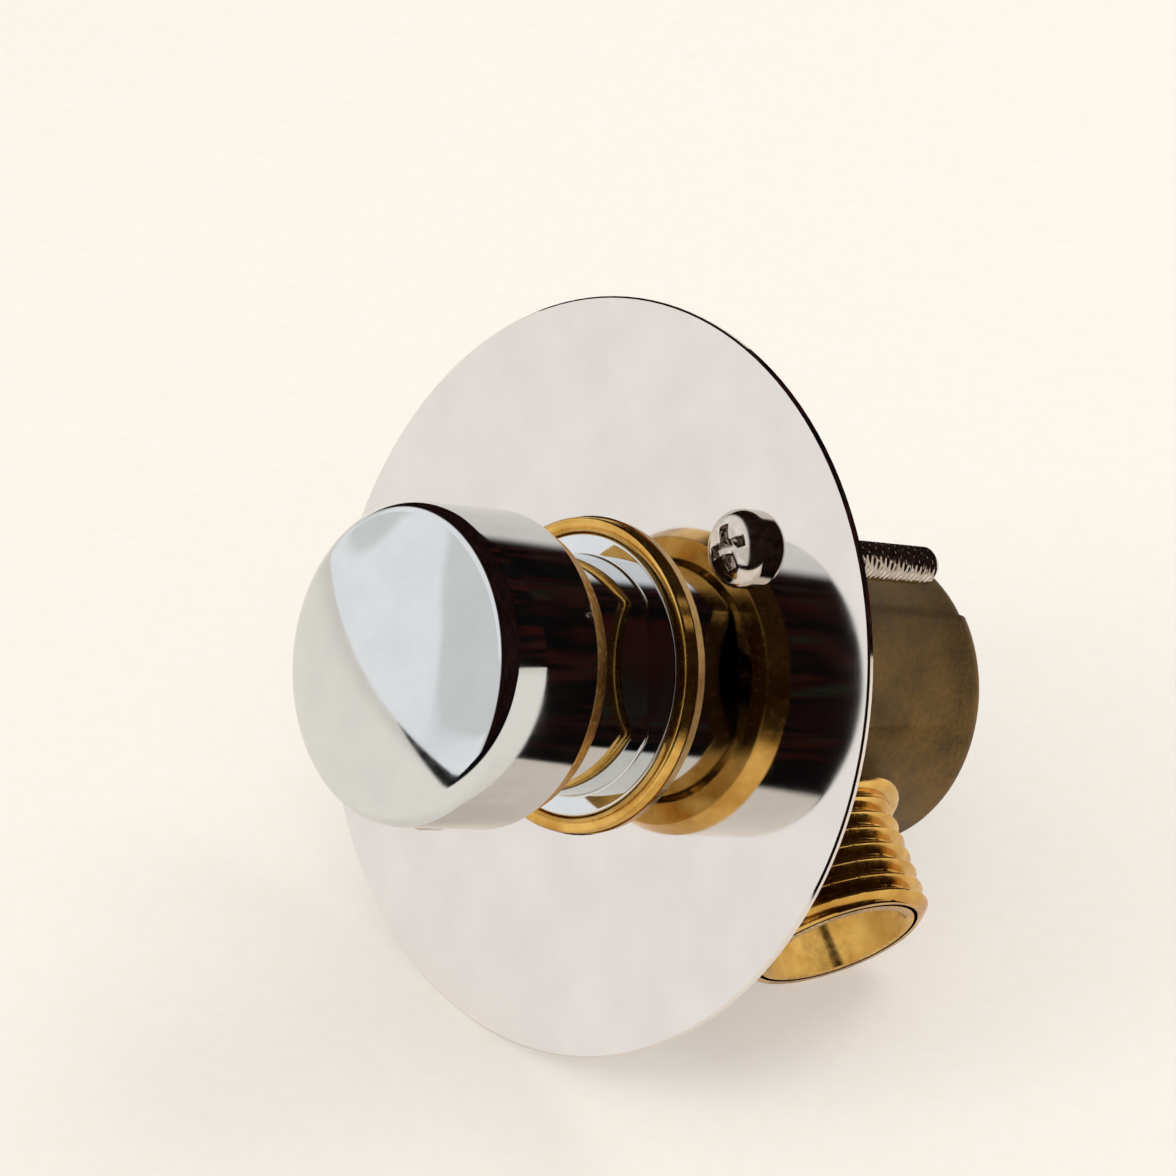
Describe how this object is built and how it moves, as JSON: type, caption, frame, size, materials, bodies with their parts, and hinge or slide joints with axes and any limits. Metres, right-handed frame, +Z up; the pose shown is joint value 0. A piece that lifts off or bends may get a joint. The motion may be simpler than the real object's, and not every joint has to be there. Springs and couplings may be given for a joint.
{
  "type": "concealed push-button tap",
  "caption": "Concealed self-closing tap: domed push button on a round cover plate, cast valve body with threaded inlet and outlet stubs behind.",
  "frame": {"origin": "on the button's axis, in the plane of the wall face behind the cover plate", "axes": "+X to the right for a person who faces the tap, +Y into the wall along the button's travel, +Z up, through the outlet stub"},
  "size_m": [0.079, 0.0742, 0.079],
  "materials": {
    "chromed_brass": "mirror-bright chrome plating, fine scratches",
    "polished_plate": "polished, slightly bowed sheet",
    "bright_screw": "nickel-plated steel",
    "cast_brass": "sand-cast skin, dull, with machined threads and rim",
    "turned_brass": "turned",
    "white_plastic": "moulded",
    "black_rubber": "moulded",
    "spring_steel": "drawn stainless wire"
  },
  "bodies": {
    "valve": {"valve_body": "cast_brass", "cover_plate": "polished_plate", "plate_screws": "bright_screw", "bonnet": "chromed_brass", "bonnet_oring": "black_rubber", "guide_bush": "white_plastic", "stem_seal": "black_rubber", "bleed_pin": "spring_steel", "cartridge": "white_plastic", "cartridge_oring": "black_rubber", "return_spring": "spring_steel"},
    "button": {"push_button": "chromed_brass", "stem": "turned_brass", "stem_nut": "bright_screw", "piston": "white_plastic", "piston_seal": "black_rubber", "piston_clip": "spring_steel", "seat_washer": "black_rubber", "washer_carrier": "turned_brass", "carrier_nut": "bright_screw"}
  },
  "joints": [
    {"name": "button_push", "type": "slide", "parent": "valve", "child": "button", "axis": [0, 1, 0], "range_m": [0, 0.007], "stiffness_N_per_m": 1500, "springref_m": -0.012, "deforming": ["return_spring"]}
  ]
}
